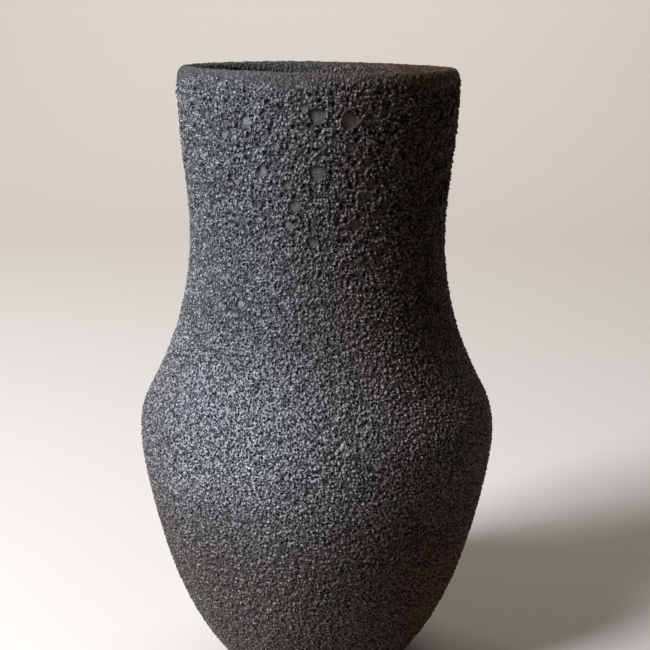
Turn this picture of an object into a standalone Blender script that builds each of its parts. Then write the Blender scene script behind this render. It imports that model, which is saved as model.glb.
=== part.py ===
"""A stoneware vase of two thrown clay sections on a foot ring, luted with slip.

A crater glaze covers the outside and the lip, and a thin liner glaze covers the inside.
"""

import math
from collections import namedtuple

import bmesh
import bpy

# Driving dimensions, in metres. The vase stands on z = 0 and its axis is Z.
HEIGHT = 0.280
LIP_HEIGHT = 0.005
FOOT_RADIUS = 0.0415
FOOT_WIDTH = 0.0080
FOOT_HEIGHT = 0.0040
FOOT_BEVEL = 0.0007
FLOOR_UNDERSIDE = 0.0052
FLOOR_TOP = 0.0125
FLOOR_FILLET = 0.0117
FLOOR_FLAT_RADIUS = 0.0335
LIP_WALL = 0.0032
FOOT_WALL = 0.0070
COAT = 0.0014
LIP_COAT = 0.0010
LIP_COAT_END = 0.2715
LINER = 0.0007
GLAZE_LINE = 0.0085
JOINT_HEIGHT = 0.1185
JOINT_DEPTH = 0.0012
SLIP = 0.0008
FOOT_SLIP = 0.0006
GAP = 0.0003

# The finished outside. Each station gives a height, the radius there, and the wall's lean in degrees.
# The lean is positive where the wall widens going up.
Station = namedtuple("Station", "height radius lean")
UNDER_LIP = Station(HEIGHT - LIP_HEIGHT, 0.06260, 0.0)
FLARE = Station(0.2500, 0.06140, 5.8)
WAIST = Station(0.2070, 0.05790, 0.0)
NECK_FOOT = Station(0.1650, 0.06410, -16.4)
SHOULDER = Station(0.1380, 0.07530, -26.6)
CORNER = Station(0.1270, 0.08040, -19.0)
BELLY = Station(0.1150, 0.08205, 0.0)
UNDER_BELLY = Station(0.0900, 0.07890, 11.3)
LOWER_WALL = Station(0.0600, 0.07160, 16.3)
FOOT_BEND = Station(0.0300, 0.06010, 27.2)
FOOT_CURVE = Station(0.0100, 0.04760, 40.0)
STATIONS = (
    UNDER_LIP,
    FLARE,
    WAIST,
    NECK_FOOT,
    SHOULDER,
    CORNER,
    BELLY,
    UNDER_BELLY,
    LOWER_WALL,
    FOOT_BEND,
    FOOT_CURVE,
)
RUNS_BETWEEN = (2, 3, 3, 2, 1, 2, 2, 2, 2, 2)

TURN_STEPS = 36
LIP_STEPS = 6
FILLET_STEPS = 3
FILLET_SWEEP = 37.4
SHARP_ANGLE = 35.0
MERGE = 0.0001

COLLECTION = "stoneware_vase"
BLACK_CLAY = ("black_stoneware", (0.043, 0.034, 0.028), 0.85)
GREY_SLIP = ("joining_slip", (0.060, 0.050, 0.043), 0.90)
CRATER_GLAZE = ("crater_glaze", (0.036, 0.037, 0.039), 0.55)
LINER_GLAZE = ("liner_glaze", (0.030, 0.031, 0.034), 0.60)


def clear_scene():
    for thing in list(bpy.data.objects):
        bpy.data.objects.remove(thing, do_unlink=True)


def material(name, colour, roughness):
    finish = bpy.data.materials.new(name)
    finish.use_nodes = True
    shader = finish.node_tree.nodes["Principled BSDF"]
    shader.inputs["Base Color"].default_value = (*colour, 1.0)
    shader.inputs["Roughness"].default_value = roughness
    shader.inputs["Metallic"].default_value = 0.0
    return finish


def outside(height):
    """The finished surface's radius and lean at a height, on a smooth curve through the stations."""
    upper, lower = next(
        pair for pair in zip(STATIONS, STATIONS[1:]) if height >= pair[1].height or pair[1] is FOOT_CURVE
    )
    rise = upper.height - lower.height
    t = (height - lower.height) / rise
    low_slope = math.tan(math.radians(lower.lean))
    high_slope = math.tan(math.radians(upper.lean))
    if t < 0:
        return lower.radius + low_slope * t * rise, math.radians(lower.lean)
    radius = (
        (2 * t**3 - 3 * t**2 + 1) * lower.radius
        + (t**3 - 2 * t**2 + t) * rise * low_slope
        + (3 * t**2 - 2 * t**3) * upper.radius
        + (t**3 - t**2) * rise * high_slope
    )
    slope = (
        (6 * t**2 - 6 * t) * (lower.radius - upper.radius) / rise
        + (3 * t**2 - 4 * t + 1) * low_slope
        + (3 * t**2 - 2 * t) * high_slope
    )
    return radius, math.atan(slope)


def under_surface(height, depth):
    """The point at this depth inside the finished surface, square to it."""
    radius, lean = outside(height)
    return radius - depth * math.cos(lean), height + depth * math.sin(lean)


def clay_inner_depth(height):
    """The clay wall thickens from lip to foot."""
    down = (UNDER_LIP.height - height) / (UNDER_LIP.height - FOOT_CURVE.height)
    return COAT + GAP + LIP_WALL + (FOOT_WALL - LIP_WALL) * down


def courses(top, bottom):
    """Heights from top to bottom. Every wall line shares them, so that neighbours stay parallel."""
    shared = []
    for upper, lower, runs in zip(STATIONS, STATIONS[1:], RUNS_BETWEEN):
        shared += [upper.height + (lower.height - upper.height) * i / runs for i in range(runs)]
    shared.append(FOOT_CURVE.height)
    return [top] + [height for height in shared if top > height > bottom] + [bottom]


def outer_line(top, bottom, depth):
    return [under_surface(height, depth) for height in courses(top, bottom)]


def inner_line(top, bottom, extra):
    """A line on the clay's inner face, or extra further in."""
    return [under_surface(height, clay_inner_depth(height) + extra) for height in courses(top, bottom)]


def lip_arc(outer, inner, crest):
    """From the wall's outer face over the crest to its inner face, both ends upright."""
    middle = (outer[0] + inner[0]) / 2
    half_width = (outer[0] - inner[0]) / 2
    arc = []
    for i in range(1, LIP_STEPS):
        turn = math.pi * i / LIP_STEPS
        base = outer[1] + (inner[1] - outer[1]) * i / LIP_STEPS
        arc.append((middle + half_width * math.cos(turn), base + (crest - base) * math.sin(turn)))
    return arc


def floor_line(extra):
    """From the foot of the inner wall round the fillet to the floor's centre, extra above the clay."""
    radius = FLOOR_FILLET - extra
    line = []
    for i in range(1, FILLET_STEPS + 1):
        turn = math.radians(FILLET_SWEEP) * (1 - i / FILLET_STEPS)
        line.append(
            (
                FLOOR_FLAT_RADIUS + radius * math.sin(turn),
                FLOOR_TOP + FLOOR_FILLET - radius * math.cos(turn),
            )
        )
    return line + [(0.0, FLOOR_TOP + extra)]


def joint_line(height):
    """The luted joint's V across the clay wall, from its outer face to its inner face."""
    outer = under_surface(height, COAT + GAP)
    inner = under_surface(height, clay_inner_depth(height))
    tip = ((outer[0] + inner[0]) / 2, (outer[1] + inner[1]) / 2 - JOINT_DEPTH)
    return [outer, tip, inner]


def lower_body_outline():
    """A thrown bowl: V-grooved rim, wall, and a flat underside inside the foot ring."""
    top = JOINT_HEIGHT - SLIP / 2 - GAP
    wall = outer_line(top, FOOT_CURVE.height, COAT + GAP)[1:]
    corner_radius = wall[-1][0] - (wall[-1][1] - FLOOR_UNDERSIDE) * math.tan(math.radians(FOOT_CURVE.lean))
    underside = [(corner_radius, FLOOR_UNDERSIDE), (0.0, FLOOR_UNDERSIDE)]
    inside = inner_line(top, FOOT_CURVE.height, 0.0)[1:] + floor_line(0.0)
    rim = joint_line(top)
    return list(reversed(inside)) + list(reversed(rim)) + wall + underside


def upper_body_outline():
    """The thrown shoulder and neck: V-edged below, rounded at the lip."""
    bottom = JOINT_HEIGHT + SLIP / 2 + GAP
    outer = outer_line(UNDER_LIP.height, bottom, COAT + GAP)
    inner = inner_line(UNDER_LIP.height, bottom, 0.0)
    lip = lip_arc(outer[0], inner[0], HEIGHT - COAT - GAP)
    return outer[:-1] + joint_line(bottom) + list(reversed(inner[:-1])) + list(reversed(lip))


def joint_slip_outline():
    """The slip between the two sections, a thin V ring."""
    top = joint_line(JOINT_HEIGHT + SLIP / 2)
    bottom = joint_line(JOINT_HEIGHT - SLIP / 2)
    return list(reversed(top)) + bottom


def outer_glaze_outline():
    """One coat from the glaze line up the wall, over the lip and a little way down inside."""
    skin = outer_line(UNDER_LIP.height, GLAZE_LINE, 0.0)
    back = outer_line(UNDER_LIP.height, GLAZE_LINE, COAT)
    turned_in = inner_line(UNDER_LIP.height, LIP_COAT_END, GAP + LIP_COAT)
    turned_in_back = inner_line(UNDER_LIP.height, LIP_COAT_END, GAP)
    crest = lip_arc(skin[0], turned_in[0], HEIGHT)
    crest_back = lip_arc(back[0], turned_in_back[0], HEIGHT - COAT)
    return (
        skin
        + list(reversed(back))
        + crest_back
        + turned_in_back
        + list(reversed(turned_in))
        + list(reversed(crest))
    )


def liner_glaze_outline():
    """The inside coat: neck, belly and floor, open at the mouth."""
    top = LIP_COAT_END - GAP
    back = inner_line(top, FOOT_CURVE.height, GAP) + floor_line(GAP)
    face = inner_line(top, FOOT_CURVE.height, GAP + LINER) + floor_line(GAP + LINER)
    return list(reversed(face)) + back


def foot_ring_outline():
    """A low ring with its edges eased, flat where it stands and where it is luted."""
    inner = FOOT_RADIUS - FOOT_WIDTH
    return [
        (FOOT_RADIUS - FOOT_BEVEL, FOOT_HEIGHT),
        (FOOT_RADIUS, FOOT_HEIGHT - FOOT_BEVEL),
        (FOOT_RADIUS, FOOT_BEVEL),
        (FOOT_RADIUS - FOOT_BEVEL, 0.0),
        (inner + FOOT_BEVEL, 0.0),
        (inner, FOOT_BEVEL),
        (inner, FOOT_HEIGHT - FOOT_BEVEL),
        (inner + FOOT_BEVEL, FOOT_HEIGHT),
    ]


def foot_slip_outline():
    """The slip between the foot ring and the underside."""
    outer = FOOT_RADIUS - FOOT_BEVEL
    inner = FOOT_RADIUS - FOOT_WIDTH + FOOT_BEVEL
    bottom = FOOT_HEIGHT + GAP
    top = bottom + FOOT_SLIP
    return [(outer, top), (outer, bottom), (inner, bottom), (inner, top)]


def turned(name, outline, base, finish, collection, parent):
    """Turns an outline of (radius, height) points about Z, and puts the piece's origin at base.

    The outline runs down its outer side. One that starts on the axis is left open there.
    """
    profile = bpy.data.meshes.new(name)
    line = bmesh.new()
    points = [line.verts.new((radius, 0.0, height - base)) for radius, height in outline]
    for first, second in zip(points, points[1:]):
        line.edges.new((first, second))
    if outline[0][0] > 0:
        line.edges.new((points[-1], points[0]))
    line.to_mesh(profile)
    line.free()

    piece = bpy.data.objects.new(name, profile)
    piece.location = (0.0, 0.0, base)
    piece.parent = parent
    collection.objects.link(piece)
    screw = piece.modifiers.new("Turn", "SCREW")
    screw.axis = "Z"
    screw.steps = TURN_STEPS
    screw.render_steps = TURN_STEPS
    screw.use_merge_vertices = True
    screw.merge_threshold = MERGE

    bpy.context.view_layer.update()
    solid = bpy.data.meshes.new_from_object(piece.evaluated_get(bpy.context.evaluated_depsgraph_get()))
    piece.modifiers.clear()
    piece.data = solid
    bpy.data.meshes.remove(profile)
    solid.name = name
    solid.materials.append(finish)
    solid.shade_smooth()
    solid.set_sharp_from_angle(angle=math.radians(SHARP_ANGLE))
    return piece


def build():
    clear_scene()
    collection = bpy.data.collections.new(COLLECTION)
    bpy.context.scene.collection.children.link(collection)
    axis = bpy.data.objects.new("vase_axis", None)
    collection.objects.link(axis)

    clay = material(*BLACK_CLAY)
    slip = material(*GREY_SLIP)
    pieces = (
        ("foot_ring", foot_ring_outline(), 0.0, clay),
        ("foot_slip", foot_slip_outline(), FOOT_HEIGHT, slip),
        ("lower_body", lower_body_outline(), FLOOR_UNDERSIDE, clay),
        ("joint_slip", joint_slip_outline(), JOINT_HEIGHT, slip),
        ("upper_body", upper_body_outline(), JOINT_HEIGHT, clay),
        ("outer_glaze", outer_glaze_outline(), GLAZE_LINE, material(*CRATER_GLAZE)),
        ("liner_glaze", liner_glaze_outline(), FLOOR_TOP, material(*LINER_GLAZE)),
    )
    for name, outline, base, finish in pieces:
        turned(name, outline, base, finish, collection, axis)


build()
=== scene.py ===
"""A thrown stoneware vase with a burst-bubble crater glaze: its visible surfaces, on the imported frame.

The crater glaze is a turned coat whose granules, pits and craters are real relief. The other pieces are
turned smooth. Every outline is read from the frame's own turned pieces, so the surfaces sit where the
frame puts them.
"""

import math

import bmesh
import bpy
import numpy as np
from mathutils import Matrix, Vector


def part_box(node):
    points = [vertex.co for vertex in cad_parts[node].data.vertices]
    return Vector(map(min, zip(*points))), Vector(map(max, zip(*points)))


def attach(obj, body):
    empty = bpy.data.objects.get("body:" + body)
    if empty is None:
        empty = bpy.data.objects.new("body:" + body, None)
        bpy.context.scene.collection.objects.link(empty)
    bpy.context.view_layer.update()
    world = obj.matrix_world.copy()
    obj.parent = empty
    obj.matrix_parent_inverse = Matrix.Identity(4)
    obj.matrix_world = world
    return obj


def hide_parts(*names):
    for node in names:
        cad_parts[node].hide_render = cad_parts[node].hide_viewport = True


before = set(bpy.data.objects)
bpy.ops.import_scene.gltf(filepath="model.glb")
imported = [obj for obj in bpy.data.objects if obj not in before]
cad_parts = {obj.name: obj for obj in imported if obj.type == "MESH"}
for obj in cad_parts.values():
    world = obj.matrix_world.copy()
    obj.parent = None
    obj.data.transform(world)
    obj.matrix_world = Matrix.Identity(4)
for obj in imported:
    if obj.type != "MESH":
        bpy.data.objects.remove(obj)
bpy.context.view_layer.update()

bl_info = {
    "name": "Crater-glazed stoneware vase",
    "version": (1, 0, 0),
    "blender": (4, 5, 0),
    "location": "View3D > Sidebar > Vase",
    "description": "Builds the glaze coats, the clay body and the studio stage of a thrown vase",
    "category": "Object",
}

MM = 0.001
WELD = 0.01 * MM
BODY = "root"
VASE_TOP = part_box("outer_glaze")[1].z

# Thicknesses of the two glaze coats, and the deepest that a hole goes into the outer one.
COAT = 1.3 * MM
LINER_COAT = 0.65 * MM
DEEPEST = 0.85 * COAT

# Rows on a coat's hidden side, as a share of those on its shown side.
BACKING_SHARE = 0.07
LINER_BACKING_SHARE = 0.2

# Steps round the smooth pieces, and the spacing of the liner's rows.
LINER_STEPS = 360
CLAY_STEPS = 240
LINER_ROW = 1.4 * MM

# The floor's width, the backdrop's height and its distance, and how far the floor lies under the foot.
FLOOR_WIDTH = 8.0
BACKDROP_HEIGHT = 4.0
BACKDROP_Y = 2.4
FLOOR_GAP = 0.1 * MM

# The camera: its place beside and above the lip, how far it looks down, and how far it leans.
CAMERA_SIDE = 3.6 * MM
CAMERA_RISE = 25.15 * MM
CAMERA_DISTANCE = 600 * MM
CAMERA_PITCH = math.radians(13.41)
CAMERA_ROLL = math.radians(0.34)

# Burst bubbles that the eye finds first: degrees round from the front, height and width in mm.
FRONT_CRATERS = (
    (-28, 260, 5.2),
    (0, 263, 6.4),
    (-5, 266, 3.4),
    (12, 261, 6.8),
    (26, 264, 4.0),
    (39, 254, 4.2),
    (-39, 254, 3.2),
    (13, 250, 4.6),
    (20, 244, 4.2),
    (0, 240, 6.2),
    (-22, 240, 4.6),
    (-12, 235, 3.6),
    (22, 234, 4.0),
    (-9, 226, 4.8),
    (18, 227, 3.2),
    (29, 226, 3.4),
    (16, 218, 5.0),
    (-12, 218, 3.8),
    (-2, 211, 4.4),
    (-33, 183, 4.0),
    (-44, 181, 3.2),
    (-39, 108, 3.4),
    (-32, 106, 3.4),
)


def linear(code):
    """An sRGB hex colour as linear red, green and blue."""
    channels = [int(code[i : i + 2], 16) / 255 for i in (1, 3, 5)]
    return tuple(c / 12.92 if c <= 0.04045 else ((c + 0.055) / 1.055) ** 2.4 for c in channels)


def colour_property(name, code, description):
    return bpy.props.FloatVectorProperty(
        name=name,
        description=description,
        subtype="COLOR",
        size=3,
        min=0.0,
        max=1.0,
        default=linear(code),
    )


def length_property(name, millimetres, description):
    return bpy.props.FloatProperty(
        name=name,
        description=description,
        unit="LENGTH",
        subtype="DISTANCE",
        default=millimetres * MM,
        precision=5,
    )


class VaseSizes(bpy.types.PropertyGroup):
    """Sizes of the glaze's relief and of the mesh that carries it."""

    turn_steps: bpy.props.IntProperty(
        name="Steps round", description="Faces round the crater glaze", default=1080, min=64
    )
    row_height: length_property("Row height", 0.42, "Height of a row of faces on the crater glaze")
    lump_height: length_property("Lump height", 0.30, "How far the glaze swells between bubbles")
    granule_width: length_property("Granule width", 1.35, "Width of one granule of the glaze")
    granule_height: length_property("Granule height", 0.34, "Height of the granules")
    grit_height: length_property("Grit height", 0.22, "Height of the uneven grit over the granules")
    pit_spacing: length_property("Pit spacing", 1.5, "Distance between the small pits")
    pit_depth: length_property("Pit depth", 0.70, "Depth of the small pits")
    ridge_height: length_property("Ridge height", 0.42, "Height of the veins between the neck's bubbles")
    bubble_spacing: length_property("Bubble spacing", 3.8, "Distance between the neck's open bubbles")
    bubble_depth: length_property("Bubble depth", 0.90, "Depth of the neck's open bubbles")
    crater_depth: length_property("Crater depth", 0.90, "Depth of a burst bubble's flat floor")
    crater_rim: length_property("Crater rim", 0.30, "Height of the ring raised round a burst bubble")


class VaseColours(bpy.types.PropertyGroup):
    """Colours of the glazes, the clay and the stage, and of the light and shade painted on the glaze."""

    glaze: colour_property("Glaze", "#3E3E3D", "Raised skin of the crater glaze")
    # Belly sheen glaze: a painted highlight, the paler skin round the belly that faces the light.
    belly_sheen_glaze: colour_property("Thick glaze", "#626261", "Skin of the glaze where it lies thickest")
    # Glint: a painted highlight on the granules' tips.
    glint: colour_property("Glint", "#7E7F80", "Glassy tips of the granules")
    # Pore shade: painted shade in the pores, grooves, pin-holes and crater rings.
    pore_shade: colour_property("Pore", "#050505", "Inside of the glaze's pores")
    crater_floor: colour_property("Crater floor", "#42423F", "Thin glaze on a crater's floor")
    # Thin glaze and shade: the glaze's own brown where it runs thin, also used as painted shade on the
    # right.
    thin_glaze_and_shade: colour_property("Thin glaze", "#21180F", "Glaze gone brown where it ran thin")
    liner: colour_property("Liner", "#222222", "Glaze inside the vase")
    # Warm shade: painted warm bounce light and dimmed reflections, low on the wall and on the right.
    warm_shade: colour_property("Iron", "#4A3320", "Iron that has bled into the glaze")
    clay: colour_property("Clay", "#312B27", "Bare fired stoneware")
    slip: colour_property("Slip", "#3A332E", "Fired joining slip")
    floor: colour_property("Floor", "#A29B91", "Pale studio floor")


# ---------------------------------------------------------------- outlines


def cad_outline(node):
    """A turned frame piece's section at +X, as (radius, height) points in order along its edge.

    A ring's outline starts at its lowest point and leaves that by the outer side. A solid piece's outline
    starts on the axis under the piece, runs round the piece and ends on the axis above it.
    """
    section = bmesh.new()
    section.from_mesh(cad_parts[node].data)
    bmesh.ops.remove_doubles(section, verts=section.verts, dist=WELD)
    cut = [v for v in section.verts if abs(v.co.y) < WELD and v.co.x > WELD]
    inside = set(cut)
    beside = {v: [e.other_vert(v) for e in v.link_edges if e.other_vert(v) in inside] for v in cut}
    ends = [v for v in cut if len(beside[v]) == 1]
    line = [min(ends or cut, key=lambda v: v.co.z)]
    step = max(beside[line[0]], key=lambda v: v.co.x)
    while step is not None:
        line.append(step)
        onward = [v for v in beside[step] if v not in line]
        step = onward[0] if onward else None
    outline = [(v.co.x, v.co.z) for v in line]
    section.free()
    if ends:
        outline = [(0.0, outline[0][1]), *outline, (0.0, outline[-1][1])]
    return np.array(outline)


def smooth_line(points, spacing):
    """Evenly spaced points on a natural cubic spline through the given ones."""
    points = np.array(points)
    along = np.concatenate([[0.0], np.cumsum(np.linalg.norm(np.diff(points, axis=0), axis=1))])
    gaps = np.diff(along)
    count = len(points)
    system = np.eye(count)
    right = np.zeros((count, 2))
    for i in range(1, count - 1):
        system[i, i - 1 : i + 2] = gaps[i - 1], 2 * (gaps[i - 1] + gaps[i]), gaps[i]
        right[i] = 6 * np.diff(points[i - 1 : i + 2], axis=0)[1] / gaps[i]
        right[i] -= 6 * np.diff(points[i - 1 : i + 2], axis=0)[0] / gaps[i - 1]
    bend = np.linalg.solve(system, right)
    at = np.linspace(0.0, along[-1], max(2, round(along[-1] / spacing) + 1))
    k = np.clip(np.searchsorted(along, at, side="right") - 1, 0, count - 2)
    a = ((along[k + 1] - at) / gaps[k])[:, None]
    b = 1 - a
    square = (gaps[k] ** 2 / 6)[:, None]
    return a * points[k] + b * points[k + 1] + ((a**3 - a) * bend[k] + (b**3 - b) * bend[k + 1]) * square


def outward_of(line):
    """Unit normals of a line that is followed with the clay on its left."""
    along = np.gradient(line, axis=0)
    normal = np.stack([along[:, 1], -along[:, 0]], axis=1)
    return normal / np.linalg.norm(normal, axis=1)[:, None]


def smoothstep(low, high, value):
    t = np.clip((value - low) / (high - low), 0.0, 1.0)
    return t * t * (3 - 2 * t)


# ---------------------------------------------------------------- meshes


def select_only(piece):
    bpy.ops.object.select_all(action="DESELECT")
    piece.select_set(True)
    bpy.context.view_layer.objects.active = piece


def points_of(piece):
    points = np.empty(len(piece.data.vertices) * 3, np.float32)
    piece.data.vertices.foreach_get("co", points)
    return points.reshape(-1, 3).astype(float)


def put_points(piece, points):
    piece.data.vertices.foreach_set("co", points.astype(np.float32).ravel())
    piece.data.update()


def put_attribute(piece, name, values):
    kind, field = ("FLOAT_VECTOR", "vector") if values.ndim == 2 else ("FLOAT", "value")
    layer = piece.data.attributes.new(name, kind, "POINT")
    layer.data.foreach_set(field, values.astype(np.float32).ravel())


def turned(name, outline, steps):
    """Turns an outline of (radius, height) points about Z, from a circle laid along the outline."""
    bpy.ops.object.select_all(action="DESELECT")
    bpy.ops.mesh.primitive_circle_add(vertices=len(outline), fill_type="NOTHING")
    piece = bpy.context.object
    piece.name = piece.data.name = name
    put_points(piece, np.column_stack([outline[:, 0], np.zeros(len(outline)), outline[:, 1]]))
    turn = piece.modifiers.new("Turn", "SCREW")
    turn.steps = turn.render_steps = steps
    turn.use_merge_vertices = True
    turn.merge_threshold = WELD
    bpy.ops.object.modifier_apply(modifier=turn.name)
    bpy.ops.object.mode_set(mode="EDIT")
    bpy.ops.mesh.select_all(action="SELECT")
    bpy.ops.mesh.remove_doubles(threshold=WELD)
    bpy.ops.mesh.delete_loose()
    bpy.ops.mesh.select_all(action="SELECT")
    bpy.ops.mesh.normals_make_consistent(inside=False)
    bpy.ops.object.mode_set(mode="OBJECT")
    bpy.ops.object.shade_smooth()
    return piece


def sharpen(piece, at_seam):
    """Marks sharp the rings where a zone's skin turns in to its hidden side."""
    piece.data.vertices.foreach_set("select", at_seam)
    select_only(piece)
    bpy.ops.object.mode_set(mode="EDIT")
    bpy.ops.mesh.select_mode(type="VERT")
    bpy.ops.mesh.mark_sharp()
    bpy.ops.object.mode_set(mode="OBJECT")


def row_of_each(points, outline):
    """For each point, the index of the outline point that it was spun from."""
    batch = 20000
    radius = np.hypot(points[:, 0], points[:, 1])
    nearest = np.empty(len(points), int)
    for start in range(0, len(points), batch):
        part = slice(start, start + batch)
        apart = (radius[part, None] - outline[:, 0]) ** 2 + (points[part, 2, None] - outline[:, 1]) ** 2
        nearest[part] = apart.argmin(axis=1)
    return nearest


def around(points):
    """Angle round the axis from the front, positive to the right."""
    return np.arctan2(points[:, 0], -points[:, 1])


def thrown_by_hand(points):
    """The slight lean and waver that a hand-thrown rim and wall have."""
    angle = around(points)
    up = points[:, 2] / VASE_TOP
    swell = 0.18 * MM * np.sin(2 * angle + 0.6) * up + 0.10 * MM * np.sin(3 * angle + 9 * up)
    radius = np.maximum(np.hypot(points[:, 0], points[:, 1]), 1e-6)
    grown = points * np.column_stack([1 + swell / radius, 1 + swell / radius, np.ones(len(points))])
    grown[:, 2] -= up**8 * MM * (0.35 * np.sin(angle - 0.3) + 0.15 * np.sin(3 * angle + 1.0))
    return grown


# ---------------------------------------------------------------- relief

# The kinds of node that the trees use most, and two settings that come again and again.
MATH = "ShaderNodeMath"
RANGE = "ShaderNodeMapRange"
MIX = "ShaderNodeMix"
CLOUD = "ShaderNodeTexNoise"
CELLS = "ShaderNodeTexVoronoi"
SMOOTH = {"interpolation_type": "SMOOTHSTEP"}
COLOUR = {"data_type": "RGBA"}

# Widths of the coat's lumps, of the grit over them and of the veins between the neck's bubbles.
LUMP_WIDTH = 5.5 * MM
GRIT_WIDTH = 1.6 * MM
VEIN_WIDTH = 4.2 * MM

# How wide and how far the places of the cells are stirred.
STIR_WIDTH = 3.0 * MM
STIR_REACH = 1.1 * MM


def add(tree, kind, values=None, give=0, **settings):
    """Adds a node with its settings, gives its inputs their values or links, and returns one output."""
    node = tree.nodes.new(kind)
    for setting, value in settings.items():
        setattr(node, setting, value)
    for name, value in (values or {}).items():
        socket = node.inputs[name]
        if isinstance(value, bpy.types.NodeSocket):
            tree.links.new(value, socket)
        elif socket.type == "RGBA":
            socket.default_value = (*value, 1.0)
        else:
            socket.default_value = value
    return node.outputs[give] if node.outputs else None


def stirred(tree, place):
    """A place nudged by up to half a millimetre, so that cells read from it lose their straight sides."""
    stir = add(tree, CLOUD, {"Vector": place, "Scale": 1 / STIR_WIDTH, "Detail": 1.0}, give="Color")
    centred = add(tree, "ShaderNodeVectorMath", {0: stir, 1: (0.5, 0.5, 0.5)}, operation="SUBTRACT")
    push = add(tree, "ShaderNodeVectorMath", {0: centred, "Scale": STIR_REACH}, operation="SCALE")
    return add(tree, "ShaderNodeVectorMath", {0: place, 1: push})


def scattered(tree, place, spacing, radius, share):
    """Round holes, 1 in the middle and 0 outside, in a share of the cells. The radius is in spacings."""
    distance = add(tree, CELLS, {"Vector": place, "Scale": 1 / spacing})
    tint = add(tree, "ShaderNodeSeparateXYZ", {0: distance.node.outputs["Color"]})
    kept = add(tree, MATH, {0: tint, 1: share}, operation="LESS_THAN")
    hole = add(tree, RANGE, {0: distance, 1: radius / 2, 2: radius, 3: 1.0, 4: 0.0}, **SMOOTH)
    return add(tree, MATH, {0: hole, 1: kept}, operation="MULTIPLY")


def relief_tree(sizes):
    """Nodes that raise a glaze coat's lumps, granules and veins and sink its pits, square to the wall.

    They work in millimetres, and leave an attribute for the material: pore_shade, from 0 on the skin to 1
    in a hole, where the material paints shade.
    """
    tree = bpy.data.node_groups.new("Crater glaze relief", "GeometryNodeTree")
    tree.interface.new_socket("Geometry", in_out="INPUT", socket_type="NodeSocketGeometry")
    tree.interface.new_socket("Geometry", in_out="OUTPUT", socket_type="NodeSocketGeometry")
    coat = add(tree, "NodeGroupInput")
    place = add(tree, "GeometryNodeInputPosition")
    cell_place = stirred(tree, place)
    burst, coverage, crater, crater_relief = [
        add(tree, "GeometryNodeInputNamedAttribute", {0: name}, data_type="FLOAT")
        for name in ("burst", "coverage", "crater", "crater_relief")
    ]
    outward = add(tree, "GeometryNodeInputNamedAttribute", {0: "outward"}, data_type="FLOAT_VECTOR")

    # The coat swells between its bubbles, and most on the neck.
    lump = sizes.lump_height / MM
    cloud = add(tree, CLOUD, {"Vector": place, "Scale": 1 / LUMP_WIDTH, "Detail": 2.0})
    lumps = add(tree, RANGE, {0: cloud, 1: 0.3, 2: 0.7, 3: -lump, 4: lump}, **SMOOTH)
    swell = add(tree, RANGE, {0: burst, 3: 0.3, 4: 1.0}, **SMOOTH)
    lumps = add(tree, MATH, {0: lumps, 1: swell}, operation="MULTIPLY")

    # Its skin is granules packed side by side, with uneven grit over them.
    granule = sizes.granule_height / MM
    cells = add(tree, CELLS, {"Vector": cell_place, "Scale": 1 / sizes.granule_width})
    granules = add(tree, RANGE, {0: cells, 1: 0.08, 2: 0.62, 3: granule, 4: -granule}, **SMOOTH)
    grit = sizes.grit_height / MM
    cloud = add(tree, CLOUD, {"Vector": place, "Scale": 1 / GRIT_WIDTH, "Detail": 2.0})
    uneven = add(tree, RANGE, {0: cloud, 1: 0.3, 2: 0.7, 3: -grit, 4: grit}, **SMOOTH)

    # Veins stand where the neck's bubbles pushed the glaze together.
    ridge = sizes.ridge_height / MM
    cloud = add(tree, CLOUD, {"Vector": place, "Scale": 1 / VEIN_WIDTH, "Detail": 1.0})
    veins = add(tree, MATH, {0: cloud, 1: 0.5}, operation="SUBTRACT")
    veins = add(tree, MATH, {0: veins}, operation="ABSOLUTE")
    veins = add(tree, RANGE, {0: veins, 1: 0.0, 2: 0.10, 3: ridge, 4: 0.0}, **SMOOTH)
    veins = add(tree, MATH, {0: veins, 1: burst}, operation="MULTIPLY")

    # Small pits prick the coat all over, and bubbles stand open on the neck.
    pits = scattered(tree, cell_place, sizes.pit_spacing, 0.35, 0.85)
    bubbles = scattered(tree, cell_place, sizes.bubble_spacing, 0.36, 0.70)
    bubbles = add(tree, MATH, {0: bubbles, 1: burst}, operation="MULTIPLY")

    relief = granules
    for part in (uneven, lumps, veins):
        relief = add(tree, MATH, {0: relief, 1: part}, operation="ADD")
    for holes, depth in ((pits, sizes.pit_depth), (bubbles, sizes.bubble_depth)):
        relief = add(tree, MATH, {0: holes, 1: -depth / MM, 2: relief}, operation="MULTIPLY_ADD")

    # A burst bubble's floor is flat, and no hole goes through the coat.
    whole = add(tree, MATH, {0: 1.0, 1: crater}, operation="SUBTRACT")
    open_skin = add(tree, MATH, {0: coverage, 1: whole}, operation="MULTIPLY")
    relief = add(tree, MATH, {0: relief, 1: open_skin, 2: crater_relief}, operation="MULTIPLY_ADD")
    relief = add(tree, MATH, {0: relief, 1: -DEEPEST / MM}, operation="MAXIMUM")
    # The holes' mask, where the material paints shade.
    pore_shade = add(tree, MATH, {0: pits, 1: 0.8}, operation="MULTIPLY")
    pore_shade = add(tree, MATH, {0: pore_shade, 1: bubbles}, operation="MAXIMUM")
    pore_shade = add(tree, MATH, {0: pore_shade, 1: open_skin}, operation="MULTIPLY")

    rise = add(tree, MATH, {0: relief, 1: MM}, operation="MULTIPLY")
    shift = add(tree, "ShaderNodeVectorMath", {0: outward, "Scale": rise}, operation="SCALE")
    with_pore = add(tree, "GeometryNodeStoreNamedAttribute", {0: coat, 2: "pore_shade", 3: pore_shade})
    moved = add(tree, "GeometryNodeSetPosition", {"Geometry": with_pore, "Offset": shift})
    add(tree, "NodeGroupOutput", {0: moved})
    return tree


def apply_nodes(piece, tree):
    select_only(piece)
    modifier = piece.modifiers.new("Relief", "NODES")
    modifier.node_group = tree
    bpy.ops.object.modifier_apply(modifier=modifier.name)


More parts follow.
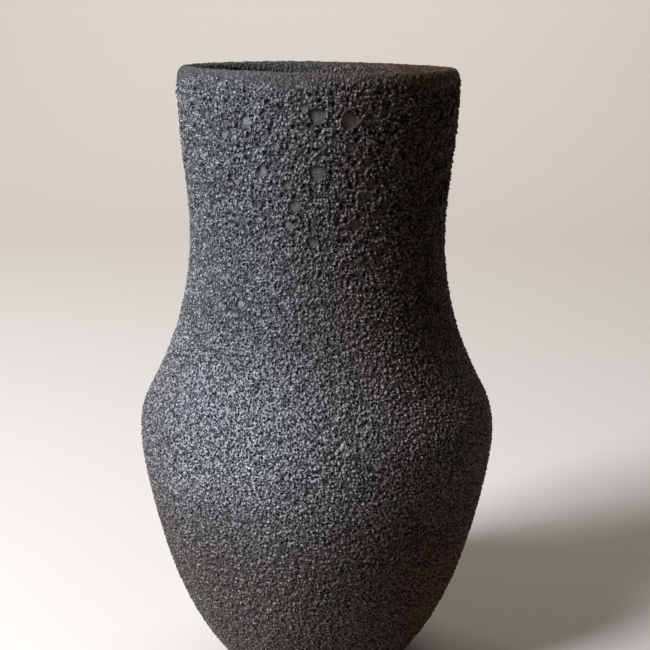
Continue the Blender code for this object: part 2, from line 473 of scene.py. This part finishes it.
def crater_marks(skin):
    """Each burst bubble's centre on the skin, its width, and the phase of its ragged edge.

    The front ones come first, then seeded ones round the neck and a few on the lower wall.
    """
    rows = skin[: skin[:, 1].argmax()]
    clearance = 0.62
    marks = []

    def mark(degrees, height, width):
        """Keeps a burst bubble, given in degrees and mm, if it stands clear of the others."""
        radius = np.interp(height * MM, rows[:, 1], rows[:, 0])
        turn = math.radians(degrees)
        centre = np.array([radius * math.sin(turn), -radius * math.cos(turn), height * MM])
        size = width * MM
        apart = [np.linalg.norm(centre - at) - (size + other) * clearance for at, other, _ in marks]
        if min(apart, default=1.0) > 0:
            marks.append((centre, size, turn * 7))

    for degrees, height, width in FRONT_CRATERS:
        mark(degrees, height, width)

    # Most of the seeded ones sit high on the neck. The last few are small and lie lower.
    chance = np.random.default_rng(11)
    for _ in range(120):
        degrees = chance.uniform(48, 312)
        height = 266 - 90 * chance.random() ** 1.6
        mark(degrees, height, chance.uniform(2.2, 5.6))
    for _ in range(16):
        mark(chance.uniform(45, 315), chance.uniform(70, 170), chance.uniform(2.0, 3.0))
    return marks


def pressed(points, marks, depth, rim):
    """Burst bubbles: their relief in mm (flat floor, steep wall, raised ring), their mask, and a mask of
    painted shadow round the wall.
    """
    relief = np.zeros(len(points))
    mask = np.zeros(len(points))
    wall = np.zeros(len(points))
    for centre, width, phase in marks:
        near = np.flatnonzero(np.abs(points[:, 2] - centre[2]) < width)
        offset = points[near] - centre
        distance = np.linalg.norm(offset, axis=1)
        side = np.array([-centre[1], centre[0], 0.0]) / np.hypot(centre[0], centre[1])
        angle = np.arctan2(offset[:, 2], offset @ side)
        ragged = 1 + 0.05 * np.sin(3 * angle + phase) + 0.03 * np.sin(5 * angle - 2 * phase)
        reach = distance / (width / 2 * ragged)
        share = min(1.0, width / (4 * MM))
        drop = -depth * share * (1 - smoothstep(0.78, 1.02, reach))
        ring = rim * share * np.exp(-(((reach - 1.16) / 0.16) ** 2))
        relief[near] += drop + ring
        mask[near] = np.maximum(mask[near], 1 - smoothstep(0.90, 1.12, reach))
        # A ring of painted shadow just inside each burst bubble's wall.
        wall[near] = np.maximum(wall[near], share * np.exp(-(((reach - 0.96) / 0.14) ** 2)))
    return relief / MM, mask, wall


# ---------------------------------------------------------------- materials

GLASS_IOR = 1.5

# The glaze's glassy specks and its pin-holes, and the sand in the clay, are a few tenths of a
# millimetre wide, too fine to show. They are drawn this coarse so that they do.
SPECK_WIDTH = 0.9 * MM
PINHOLE_SPACING = 1.0 * MM
SAND_WIDTH = 0.7 * MM

# Grog is crushed pot in the clay, and stands at its real spacing.
GROG_SPACING = 2.0 * MM


def new_material(name):
    material = bpy.data.materials.new(name)
    material.use_nodes = True
    tree = material.node_tree
    return material, tree, tree.nodes["Principled BSDF"]


def dimmed(colour, share):
    return tuple(min(1.0, c * share) for c in colour)


def crater_glaze_material(sizes, colours):
    """Charcoal crater glaze, boiled in firing: painted glints and painted shade on a dark, matt, pitted
    skin.

    It reads skin_place, each point's place on the coat before its relief, so its granules and holes are
    the relief's own.
    """
    material, tree, shader = new_material("Crater glaze, boiled charcoal")
    place = add(tree, "ShaderNodeAttribute", give="Vector", attribute_name="skin_place")
    pore_shade, crater, wall, coverage = [
        add(tree, "ShaderNodeAttribute", give="Fac", attribute_name=name)
        for name in ("pore_shade", "crater", "crater_wall_shade", "coverage")
    ]
    side = add(tree, "ShaderNodeSeparateXYZ", {0: place}, give="X")
    height = side.node.outputs["Z"]

    # The skin is painted paler round the belly: a painted highlight where the shoulder faces up to the
    # light.
    above = add(tree, RANGE, {0: height, 1: 175 * MM, 2: 140 * MM})
    under = add(tree, RANGE, {0: height, 1: 75 * MM, 2: 105 * MM})
    belly = add(tree, MATH, {0: above, 1: under}, operation="MULTIPLY")
    skin = add(tree, MIX, {0: belly, 6: colours.glaze, 7: colours.belly_sheen_glaze}, give=2, **COLOUR)

    # It is brown where it runs thin at the lip. Painted shade darkens it brown on the right side, less so
    # round the belly, at the far left edge, and in patchy drifts low on the wall.
    thin = add(tree, RANGE, {0: coverage, 1: 0.8, 2: 0.3})
    low = add(tree, RANGE, {0: height, 1: 116 * MM, 2: 60 * MM, 4: 0.8})
    drift = add(tree, CLOUD, {"Vector": place, "Scale": 1 / (35 * MM), "Detail": 3.0})
    drift = add(tree, RANGE, {0: drift, 1: 0.35, 2: 0.65, 3: 0.3, 4: 1.0})
    right = add(tree, RANGE, {0: side, 1: -24 * MM, 2: 46 * MM})
    less_on_belly = add(tree, RANGE, {0: belly, 3: 1.0, 4: 0.72})
    right = add(tree, MATH, {0: right, 1: less_on_belly}, operation="MULTIPLY")
    left = add(tree, RANGE, {0: side, 1: -55 * MM, 2: -82 * MM, 4: 0.45})
    brown = add(tree, MATH, {0: right, 1: left}, operation="MAXIMUM")
    lip = add(tree, MATH, {0: thin, 1: 0.9}, operation="MULTIPLY")
    thin_and_shaded = add(tree, MATH, {0: low, 1: drift}, operation="MULTIPLY")
    for part in (lip, brown):
        thin_and_shaded = add(tree, MATH, {0: thin_and_shaded, 1: part}, operation="MAXIMUM")
    skin = add(tree, MIX, {0: thin_and_shaded, 6: skin, 7: colours.thin_glaze_and_shade}, give=2, **COLOUR)

    # Painted warm bounce light lies in soft upright runs below the belly on the right.
    tall = add(tree, "ShaderNodeMapping", {0: place, 3: (1.0, 1.0, 0.12)})
    streaks = add(tree, CLOUD, {"Vector": tall, "Scale": 1 / (7 * MM), "Detail": 2.0})
    runs = add(tree, RANGE, {0: streaks, 1: 0.48, 2: 0.66, 4: 0.8})
    across = add(tree, RANGE, {0: side, 1: 35 * MM, 2: 62 * MM})
    below = add(tree, RANGE, {0: height, 1: 128 * MM, 2: 105 * MM})
    for part in (across, below):
        runs = add(tree, MATH, {0: runs, 1: part}, operation="MULTIPLY")
    skin = add(tree, MIX, {0: runs, 6: skin, 7: colours.warm_shade}, give=2, **COLOUR)

    # Painted glints: the granules' tips are painted lighter, in specks, less so on the shaded right side,
    # low on the wall and where the coat is thin.
    cell_place = stirred(tree, place)
    granule = add(tree, CELLS, {"Vector": cell_place, "Scale": 1 / sizes.granule_width})
    speck = add(tree, CLOUD, {"Vector": place, "Scale": 1 / SPECK_WIDTH, "Detail": 2.0})
    tips = add(tree, RANGE, {0: granule, 1: 0.60, 2: 0.25})
    uneven = add(tree, RANGE, {0: speck, 1: 0.38, 2: 0.58, 3: 0.4, 4: 1.0})
    unshaded = add(tree, RANGE, {0: brown, 3: 0.42, 4: 0.2})
    high = add(tree, RANGE, {0: low, 2: 0.8, 3: 1.0, 4: 0.45})
    for part in (uneven, unshaded, high, coverage, coverage):
        tips = add(tree, MATH, {0: tips, 1: part}, operation="MULTIPLY")
    skin = add(tree, MIX, {0: tips, 6: skin, 7: colours.glint}, give=2, **COLOUR)

    # Painted shade lies brown over tips and skin alike on the right, and painted warm bounce light over the
    # low wall and the right.
    side_shade = add(tree, MATH, {0: brown, 1: 0.35}, operation="MULTIPLY")
    skin = add(tree, MIX, {0: side_shade, 6: skin, 7: colours.thin_glaze_and_shade}, give=2, **COLOUR)
    warm = add(tree, MATH, {0: brown, 1: 0.5}, operation="MULTIPLY")
    warm = add(tree, MATH, {0: warm, 1: low}, operation="MAXIMUM")
    warm = add(tree, MATH, {0: warm, 1: 0.5}, operation="MULTIPLY")
    skin = add(tree, MIX, {0: warm, 6: skin, 7: colours.warm_shade}, give=2, **COLOUR)

    # The floors of burst bubbles are smooth thin glaze, painted browner on the shaded side.
    floor = add(tree, MIX, {0: brown, 6: colours.crater_floor, 7: colours.thin_glaze_and_shade}, give=2, **COLOUR)
    skin = add(tree, MIX, {0: crater, 6: skin, 7: floor}, give=2, **COLOUR)

    # Grooves between the granules, the relief's round holes, and pin-holes are dull, and painted dark as
    # shade in these recesses.
    groove = add(tree, RANGE, {0: granule, 1: 0.64, 2: 0.78, 4: 0.95})
    hole = add(tree, CELLS, {"Vector": cell_place, "Scale": 1 / sizes.pit_spacing})
    kept = add(tree, "ShaderNodeSeparateXYZ", {0: hole.node.outputs["Color"]})
    kept = add(tree, RANGE, {0: kept, 1: 0.86, 2: 0.84})
    hole = add(tree, RANGE, {0: hole, 1: 0.34, 2: 0.24})
    hole = add(tree, MATH, {0: hole, 1: kept}, operation="MULTIPLY")
    pinhole = add(tree, CELLS, {"Vector": place, "Scale": 1 / PINHOLE_SPACING})
    deep = add(tree, "ShaderNodeSeparateXYZ", {0: pinhole.node.outputs["Color"]})
    deep = add(tree, RANGE, {0: deep, 2: 0.4, 3: 0.4, 4: 1.0})
    pinhole = add(tree, RANGE, {0: pinhole, 1: 0.48, 2: 0.34})
    pinhole = add(tree, MATH, {0: pinhole, 1: deep}, operation="MULTIPLY")
    dark = pore_shade
    for part in (groove, hole, pinhole):
        dark = add(tree, MATH, {0: dark, 1: part}, operation="MAXIMUM")
    whole = add(tree, RANGE, {0: crater, 3: 1.0, 4: 0.0})
    covered = add(tree, RANGE, {0: coverage, 1: 0.2, 2: 1.0, 3: 0.7, 4: 1.0})
    for part in (whole, covered):
        dark = add(tree, MATH, {0: dark, 1: part}, operation="MULTIPLY")
    # A painted shadow darkens a ring at each burst bubble's wall.
    edge = add(tree, MATH, {0: wall, 1: 0.95}, operation="MULTIPLY")
    dark = add(tree, MATH, {0: dark, 1: edge}, operation="MAXIMUM")
    base = add(tree, MIX, {0: dark, 6: skin, 7: colours.pore_shade}, give=2, **COLOUR)
    tree.links.new(base, shader.inputs["Base Color"])

    # Skin and tips have a low sheen. Holes, crater floors and thin glaze are matt.
    rough = add(tree, RANGE, {0: dark, 2: 0.6, 3: 0.42, 4: 0.85})
    for part, most in ((crater, 0.6), (thin, 0.8)):
        matt = add(tree, MATH, {0: part, 1: most}, operation="MULTIPLY")
        rough = add(tree, MATH, {0: rough, 1: matt}, operation="MAXIMUM")
    tree.links.new(rough, shader.inputs["Roughness"])

    # On the shaded side the glaze's reflections are painted dim and brown: painted shade.
    shade_reflection_tint = dimmed(colours.warm_shade, 4.0)
    mirrored = add(tree, MIX, {0: brown, 6: (1.0, 1.0, 1.0), 7: shade_reflection_tint}, give=2, **COLOUR)
    tree.links.new(mirrored, shader.inputs["Specular Tint"])
    shader.inputs["IOR"].default_value = GLASS_IOR
    rise = add(tree, MATH, {0: speck, 1: dark}, operation="SUBTRACT")
    bump = add(tree, "ShaderNodeBump", {"Height": rise, "Strength": 1.0, "Distance": 0.6 * MM})
    tree.links.new(bump, shader.inputs["Normal"])
    return material


def liner_glaze_material(colours):
    """Matt charcoal liner glaze, poured thin: a fine even tooth, clouded brown where it is thinnest."""
    material, tree, shader = new_material("Liner glaze, matt charcoal")
    place = add(tree, "ShaderNodeTexCoord", give="Object")
    cloud = add(tree, CLOUD, {"Vector": place, "Scale": 1 / (22 * MM), "Detail": 4.0})
    tooth = add(tree, CLOUD, {"Vector": place, "Scale": 1 / SPECK_WIDTH, "Detail": 3.0})
    raised = add(tree, RANGE, {0: tooth, 1: 0.35, 2: 0.6})
    # The tooth's hollows are painted darker: painted shade.
    hollow_shade = dimmed(colours.liner, 0.3)
    base = add(tree, MIX, {0: raised, 6: hollow_shade, 7: colours.liner}, give=2, **COLOUR)
    thinnest = add(tree, RANGE, {0: cloud, 1: 0.45, 2: 0.75, 4: 0.5})
    base = add(tree, MIX, {0: thinnest, 6: base, 7: colours.thin_glaze_and_shade}, give=2, **COLOUR)
    tree.links.new(base, shader.inputs["Base Color"])
    rough = add(tree, RANGE, {0: tooth, 1: 0.3, 2: 0.7, 3: 0.75, 4: 0.45})
    tree.links.new(rough, shader.inputs["Roughness"])
    shader.inputs["IOR"].default_value = GLASS_IOR
    bump = add(tree, "ShaderNodeBump", {"Height": tooth, "Strength": 0.9, "Distance": 0.35 * MM})
    tree.links.new(bump, shader.inputs["Normal"])
    return material


def clay_material(name, colour):
    """Bare stoneware, fired dark: matt, with pale grog specks in a sandy brown-black body."""
    material, tree, shader = new_material(name)
    place = add(tree, "ShaderNodeTexCoord", give="Object")
    cloud = add(tree, CLOUD, {"Vector": place, "Scale": 1 / (12 * MM), "Detail": 4.0})
    sand = add(tree, CLOUD, {"Vector": place, "Scale": 1 / SAND_WIDTH, "Detail": 3.0})
    grog = add(tree, CELLS, {"Vector": place, "Scale": 1 / GROG_SPACING})
    grog = add(tree, RANGE, {0: grog, 1: 0.22, 2: 0.10, 4: 0.6})
    body = add(tree, MIX, {0: cloud, 6: colour, 7: dimmed(colour, 0.5)}, give=2, **COLOUR)
    body = add(tree, MIX, {0: grog, 6: body, 7: dimmed(colour, 3.0)}, give=2, **COLOUR)
    tree.links.new(body, shader.inputs["Base Color"])
    rough = add(tree, RANGE, {0: sand, 1: 0.3, 2: 0.7, 3: 0.78, 4: 0.95})
    tree.links.new(rough, shader.inputs["Roughness"])
    bump = add(tree, "ShaderNodeBump", {"Height": sand, "Strength": 0.6, "Distance": 0.25 * MM})
    tree.links.new(bump, shader.inputs["Normal"])
    return material


def floor_material(colours):
    """Painted studio floor: even, pale and matt, with the faintest roller stipple."""
    material, tree, shader = new_material("Studio paint, pale matt")
    place = add(tree, "ShaderNodeTexCoord", give="Object")
    stipple = add(tree, CLOUD, {"Vector": place, "Scale": 1 / (3 * MM), "Detail": 2.0})
    shade = dimmed(colours.floor, 0.97)
    paint = add(tree, MIX, {0: stipple, 6: colours.floor, 7: shade}, give=2, **COLOUR)
    tree.links.new(paint, shader.inputs["Base Color"])
    shader.inputs["Roughness"].default_value = 0.8
    return material


def finish(piece, material, node):
    """Gives a new piece its finish and its body, and hides the frame node that it stands for."""
    piece.data.materials.clear()
    piece.data.materials.append(material)
    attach(piece, BODY)
    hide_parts(node)


# ---------------------------------------------------------------- operators

GLAZE_ZONES = (
    "foot_wall",
    "lower_wall",
    "under_belly",
    "belly",
    "shoulder",
    "neck_foot",
    "waist",
    "neck",
    "lip",
)


class VASE_OT_crater_glaze(bpy.types.Operator):
    """Build the crater glaze coat, zone by zone from the foot to the lip"""

    bl_idname = "vase.crater_glaze"
    bl_label = "Crater glaze"

    def execute(self, context):
        sizes = context.scene.vase_sizes
        fine = smooth_line(glaze_skin(), sizes.row_height)
        normals = outward_of(fine)
        along = np.concatenate([[0.0], np.cumsum(np.linalg.norm(np.diff(fine, axis=0), axis=1))])
        crest = along[fine[:, 1].argmax()]
        marks = crater_marks(fine)
        tree = relief_tree(sizes)
        material = crater_glaze_material(sizes, context.scene.vase_colours)
        ends = np.linspace(0, len(fine) - 1, len(GLAZE_ZONES) + 1).round().astype(int)
        for zone, low, high in zip(GLAZE_ZONES, ends, ends[1:]):
            rows = slice(low, high + 1)
            shown = fine[rows]
            hidden = backing(shown, normals[rows], COAT, BACKING_SHARE)
            outline = np.vstack([shown, hidden])
            piece = turned("glaze_" + zone, outline, sizes.turn_steps)
            points = points_of(piece)
            row = row_of_each(points, outline)
            on_skin = row < len(shown)
            row = np.where(on_skin, row + low, low)
            angle = around(points)
            outward = np.column_stack(
                [normals[row, 0] * np.sin(angle), -normals[row, 0] * np.cos(angle), normals[row, 1]]
            )
            from_line = along[row]
            from_crest = np.abs(from_line - crest)
            # The coat runs thin over the lip and at its lower edge, and bubbled more the higher it lies.
            waver = 1.6 * MM * np.sin(5 * angle)
            coverage = 0.35 + 0.65 * smoothstep(3 * MM, 11 * MM, from_crest + waver)
            coverage *= 0.4 + 0.6 * smoothstep(1 * MM, 9 * MM, from_line)
            waver = 8 * MM * np.sin(2 * angle + 1.0)
            burst = smoothstep(165 * MM, 235 * MM, points[:, 2] + waver)
            burst = np.where(from_line > crest, 0.2, burst)
            crater_relief, crater, wall = pressed(points, marks, sizes.crater_depth, sizes.crater_rim)
            crater_relief += rolled_edge(from_line)
            put_attribute(piece, "skin_place", points)
            put_attribute(piece, "outward", outward * on_skin[:, None])
            put_attribute(piece, "coverage", coverage)
            put_attribute(piece, "burst", burst)
            put_attribute(piece, "crater", crater * on_skin)
            put_attribute(piece, "crater_relief", crater_relief)
            # The ring where the material paints a shadow at each burst bubble's wall.
            put_attribute(piece, "crater_wall_shade", wall)
            apply_nodes(piece, tree)
            put_points(piece, thrown_by_hand(points_of(piece)))
            sharpen(piece, on_skin & ((row == low) | (row == high)))
            finish(piece, material, "outer_glaze")
        return {"FINISHED"}


def rolled_edge(from_line):
    """Relief in mm of the bead that the running glaze rolled up over its rounded lower edge."""
    bead_height = 0.45
    bead_middle = 2.2
    bead_width = 1.3
    edge_drop = 1.25
    bead = bead_height * np.exp(-(((from_line / MM - bead_middle) / bead_width) ** 2))
    fold = np.clip(1 - from_line / COAT, 0, 1)
    return bead - edge_drop * (1 - np.sqrt(1 - fold**2))


def glaze_skin():
    """The crater glaze's shown line, from the glaze line over the lip to its edge inside the mouth."""
    outline = cad_outline("outer_glaze")
    top = outline[:, 1].argmax()
    rising = np.flatnonzero(np.diff(outline[top:, 1]) > 0)
    return outline[: top + rising[0]]


def backing(shown, normals, thickness, share):
    """The hidden side of a coat, behind its shown side, with a share of its rows."""
    rows = np.linspace(len(shown) - 1, 0, max(3, round(len(shown) * share))).round().astype(int)
    return shown[rows] - normals[rows] * thickness


class VASE_OT_liner_glaze(bpy.types.Operator):
    """Build the liner glaze inside the vase"""

    bl_idname = "vase.liner_glaze"
    bl_label = "Liner glaze"

    def execute(self, context):
        outline = cad_outline("liner_glaze")
        face = outline[outline[:, 1].argmax() : -1]
        halfway_in = face[-1] * [0.5, 1.0]
        middle = outline[-1] * [0.0, 1.0]
        shown = smooth_line([*face, halfway_in, middle], LINER_ROW)
        hidden = backing(shown, outward_of(shown), LINER_COAT, LINER_BACKING_SHARE)
        shown[-1, 0] = 0.0
        hidden[0, 0] = 0.0
        piece = turned("liner_coat", np.vstack([shown, hidden]), LINER_STEPS)
        put_points(piece, thrown_by_hand(points_of(piece)))
        finish(piece, liner_glaze_material(context.scene.vase_colours), "liner_glaze")
        return {"FINISHED"}


class VASE_OT_clay(bpy.types.Operator):
    """Build the two thrown clay sections, the foot ring and the slip that joins them"""

    bl_idname = "vase.clay"
    bl_label = "Clay body and foot"

    def execute(self, context):
        colours = context.scene.vase_colours
        clay = clay_material("Stoneware, bare and matt", colours.clay)
        slip = clay_material("Joining slip, fired", colours.slip)
        for name, node, slot, material in (
            ("foot_ring_clay", "foot_ring", "clay", clay),
            ("foot_slip_bead", "foot_slip", "slip", slip),
            ("lower_body_clay", "lower_body", "clay", clay),
            ("joint_slip_bead", "joint_slip", "slip", slip),
            ("upper_body_clay", "upper_body", "clay", clay),
        ):
            piece = turned(name, cad_outline(node), CLAY_STEPS)
            put_points(piece, thrown_by_hand(points_of(piece)))
            finish(piece, material, node)
        return {"FINISHED"}


class VASE_OT_stage(bpy.types.Operator):
    """Lay the pale floor and backdrop, hang the soft lights and set the camera"""

    bl_idname = "vase.stage"
    bl_label = "Studio stage"

    def execute(self, context):
        colours = context.scene.vase_colours
        bpy.ops.object.select_all(action="DESELECT")
        bpy.ops.mesh.primitive_plane_add(size=FLOOR_WIDTH)
        floor = context.object
        floor.name = "studio_floor"
        back = FLOOR_WIDTH / 2 - 0.1
        select_edges(floor, lambda ends: all(end.y > back for end in ends))
        bpy.ops.object.mode_set(mode="EDIT")
        bpy.ops.mesh.extrude_region_move(TRANSFORM_OT_translate={"value": (0, 0, BACKDROP_HEIGHT)})
        bpy.ops.object.mode_set(mode="OBJECT")
        points = points_of(floor)
        points[points[:, 1] > back, 1] = BACKDROP_Y
        points[:, 2] -= FLOOR_GAP
        put_points(floor, points)
        select_edges(floor, lambda ends: all(end.y > BACKDROP_Y - 0.1 and end.z < 0.1 for end in ends))
        bpy.ops.object.mode_set(mode="EDIT")
        bpy.ops.mesh.bevel(offset=BACKDROP_Y / 2, segments=24)
        bpy.ops.object.mode_set(mode="OBJECT")
        bpy.ops.object.shade_smooth()
        floor.data.materials.append(floor_material(colours))

        world = bpy.data.worlds.new("Studio air")
        world.use_nodes = True
        air = world.node_tree.nodes["Background"]
        air.inputs["Color"].default_value = (*linear("#E6E9EE"), 1.0)
        air.inputs["Strength"].default_value = 0.10
        context.scene.world = world
        context.scene.view_settings.view_transform = "Standard"

        # A soft window high on the left, a breath of warm light low on the right, and the backdrop's own.
        aim = (0.0, 0.0, VASE_TOP / 2)
        soft_light("window_light", (-1.02, -0.68, 1.15), aim, (0.55, 0.7), 105.0, "#EAF0FF")
        soft_light("warm_fill", (1.2, 0.35, 0.12), aim, (0.5, 0.3), 0.5, "#FFA55C")
        soft_light("backdrop_light", (0.0, 1.4, 2.2), (0.0, BACKDROP_Y, 0.6), (2.4, 0.6), 60.0, "#FFFFFF")

        lens = bpy.data.cameras.new("view")
        lens.lens = 73.59
        lens.sensor_width = 36.0
        camera = bpy.data.objects.new("view", lens)
        context.scene.collection.objects.link(camera)
        place = Matrix.Translation((CAMERA_SIDE, -CAMERA_DISTANCE, VASE_TOP + CAMERA_RISE))
        pitch = Matrix.Rotation(math.radians(90) - CAMERA_PITCH, 4, "X")
        roll = Matrix.Rotation(CAMERA_ROLL, 4, "Z")
        camera.matrix_world = place @ pitch @ roll
        context.scene.camera = camera
        return {"FINISHED"}


def select_edges(piece, wanted):
    """Selects the edges whose two ends pass a test, and nothing else."""
    bpy.ops.object.mode_set(mode="EDIT")
    bpy.ops.mesh.select_mode(type="EDGE")
    bpy.ops.mesh.select_all(action="DESELECT")
    bpy.ops.object.mode_set(mode="OBJECT")
    for edge in piece.data.edges:
        edge.select = wanted([piece.data.vertices[i].co for i in edge.vertices])


def soft_light(name, place, aim, size, power, code):
    lamp = bpy.data.lights.new(name, "AREA")
    lamp.shape = "RECTANGLE"
    lamp.size, lamp.size_y = size
    lamp.energy = power
    lamp.color = linear(code)
    holder = bpy.data.objects.new(name, lamp)
    bpy.context.scene.collection.objects.link(holder)
    turn = (Vector(place) - Vector(aim)).to_track_quat("Z", "Y").to_matrix().to_4x4()
    holder.matrix_world = Matrix.Translation(place) @ turn


class VASE_PT_pieces(bpy.types.Panel):
    """Shows the vase's build buttons, sizes and colours in the sidebar"""

    bl_idname = "VASE_PT_pieces"
    bl_label = "Stoneware vase"
    bl_space_type = "VIEW_3D"
    bl_region_type = "UI"
    bl_category = "Vase"

    def draw(self, context):
        for operator in OPERATORS:
            self.layout.operator(operator.bl_idname)
        for group in (context.scene.vase_sizes, context.scene.vase_colours):
            column = self.layout.column()
            for name in group.__annotations__:
                column.prop(group, name)


OPERATORS = (VASE_OT_crater_glaze, VASE_OT_liner_glaze, VASE_OT_clay, VASE_OT_stage)
CLASSES = (VaseSizes, VaseColours, *OPERATORS, VASE_PT_pieces)


def register():
    for item in CLASSES:
        bpy.utils.register_class(item)
    bpy.types.Scene.vase_sizes = bpy.props.PointerProperty(type=VaseSizes)
    bpy.types.Scene.vase_colours = bpy.props.PointerProperty(type=VaseColours)


def unregister():
    del bpy.types.Scene.vase_colours
    del bpy.types.Scene.vase_sizes
    for item in reversed(CLASSES):
        bpy.utils.unregister_class(item)


def main():
    register()
    bpy.ops.vase.crater_glaze()
    bpy.ops.vase.liner_glaze()
    bpy.ops.vase.clay()
    bpy.ops.vase.stage()


if __name__ == "__main__":
    main()
